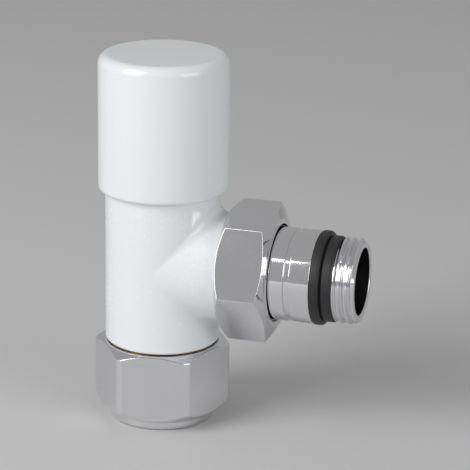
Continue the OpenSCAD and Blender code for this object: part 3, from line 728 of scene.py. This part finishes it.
def make_tail():
    nose_x = tail_low.x
    flange_x = outlet_reach + FACE_GAP
    groove_x = union_high.x + NECK_LENGTH
    ring_x = (nose_x + flange_x - NOSE_RING_WIDTH) / 2
    end_x = tail_high.x
    core_r = TAIL_THREAD_RADIUS - THREAD_DEPTH + 0.02
    bm = turned_part([
        (TAIL_BORE_RADIUS, nose_x), (NOSE_RADIUS - NOSE_BEVEL, nose_x), (NOSE_RADIUS, nose_x + NOSE_BEVEL),
        (NOSE_RADIUS, ring_x, 0.1), (NOSE_RING_FLOOR, ring_x), (NOSE_RING_FLOOR, ring_x + NOSE_RING_WIDTH),
        (NOSE_RADIUS, ring_x + NOSE_RING_WIDTH, 0.1), (NOSE_RADIUS, flange_x), (FLANGE_RADIUS, flange_x, 0.2),
        (FLANGE_RADIUS, flange_x + FLANGE_THICKNESS, 0.2), (COLLAR_RADIUS, flange_x + FLANGE_THICKNESS),
        (COLLAR_RADIUS, groove_x, 0.15), (COLLAR_RADIUS - GROOVE_DEPTH, groove_x, 0.1),
        (COLLAR_RADIUS - GROOVE_DEPTH, groove_x + GROOVE_WIDTH, 0.1), (COLLAR_RADIUS, groove_x + GROOVE_WIDTH, 0.15),
        (COLLAR_RADIUS, seal_low.x, 0.25), (SEAL_SEAT_RADIUS, seal_low.x), (core_r, seal_high.x - 1),
        (core_r, end_x - 0.1), (core_r - 0.1, end_x), (TAIL_BORE_RADIUS, end_x, 0.25),
    ])
    tail = as_object(onto_outlet(bm), "tail_turned", turned_chrome)
    coil = thread_coil(TAIL_THREAD_RADIUS, seal_high.x + 0.02, end_x - seal_high.x - 0.03, 0.45, TAIL_BEVEL)
    combine(tail, onto_outlet(coil), "UNION")
    finish_piece(tail, "tail", "chrome", "tailpiece")


SEAL_RIB_RADIUS = 11.5
SEAL_RIB_WIDTH = 2.3
SEAL_LIP_RADIUS = 10.5
SEAL_DIP = 0.6


def make_tail_seal():
    rib_x = seal_low.x + SEAL_RIB_WIDTH
    bm = turned_part([
        (SEAL_SEAT_RADIUS + 0.05, seal_low.x), (SEAL_RIB_RADIUS, seal_low.x, 0.4), (SEAL_RIB_RADIUS, rib_x, 0.7),
        (SEAL_LIP_RADIUS - SEAL_DIP, rib_x, 0.15), (SEAL_LIP_RADIUS - SEAL_DIP, rib_x + 0.25, 0.1),
        (SEAL_LIP_RADIUS, rib_x + 0.3, 0.4), (SEAL_LIP_RADIUS, seal_high.x, 0.7), (SEAL_SEAT_RADIUS + 0.05, seal_high.x),
    ])
    finish_piece(as_object(onto_outlet(bm), "tail_seal_moulded", rubber), "tail", "black_rubber", "tail_seal")


make_tail()
make_tail_seal()


# Handwheel: one moulded shell that drops over the top of the barrel

cap_low, cap_high = box_mm("wheel_cap")

CAP_INNER_RADIUS = 14.5
CAP_CROWN = 2.4
CAP_RIM = 1.0
CAP_TOP = 2.2
CAP_LEDGE_RADIUS = 13.65


def make_handwheel():
    cap_r = cap_high.x
    ledge_z = box_mm("wheel_hub")[1].z
    bm = turned_part([
        (0, cap_high.z), (cap_r, cap_high.z, CAP_CROWN), (cap_r, cap_low.z, CAP_RIM), (CAP_INNER_RADIUS, cap_low.z, 0.2),
        (CAP_INNER_RADIUS, ledge_z), (CAP_LEDGE_RADIUS, ledge_z), (CAP_LEDGE_RADIUS, cap_high.z - CAP_TOP),
        (0, cap_high.z - CAP_TOP),
    ], closed=False, steps=160)
    finish_piece(as_object(bm, "handwheel_shell", white_cap), "handwheel", "white_cap", "wheel_cap")


make_handwheel()


# Studio: pale grey floor and surround, and soft lamps

GREY = 0.604


def make_floor():
    bm = bmesh.new()
    bmesh.ops.create_grid(bm, x_segments=8, y_segments=8, size=1500)
    floor = as_object(bm, "floor")
    floor.data.transform(Matrix.Scale(MM, 4))
    finish = Finish("floor_paper", (GREY, GREY, GREY), 0.7)
    finish.vary_roughness(noise(finish, 300.0), 0.6, 0.8)
    finish.raise_bumps((noise(finish, 900.0), 0.02))
    floor.data.materials.append(finish.material)


def make_world():
    world = bpy.data.worlds.new("surround")
    scene.world = world
    world.use_nodes = True
    background = world.node_tree.nodes["Background"]
    background.inputs["Color"].default_value = (GREY, GREY, GREY, 1)
    background.inputs["Strength"].default_value = 0.6


def make_lamp(name, place, aim, size, power):
    data = bpy.data.lights.new(name, "AREA")
    data.shape = "RECTANGLE"
    data.size, data.size_y = (side * MM for side in size)
    data.energy = power
    lamp = bpy.data.objects.new(name, data)
    scene.collection.objects.link(lamp)
    lamp.location = Vector(place) * MM
    lamp.rotation_euler = (Vector(aim) - Vector(place)).to_track_quat("-Z", "Y").to_euler()


make_floor()
make_world()
make_lamp("key", (-500, -600, 500), (0, 0, 50), (500, 700), 6)
make_lamp("fill", (800, -400, 300), (0, 0, 50), (500, 500), 2)

scene.view_settings.view_transform = "Standard"

bpy.context.view_layer.update()
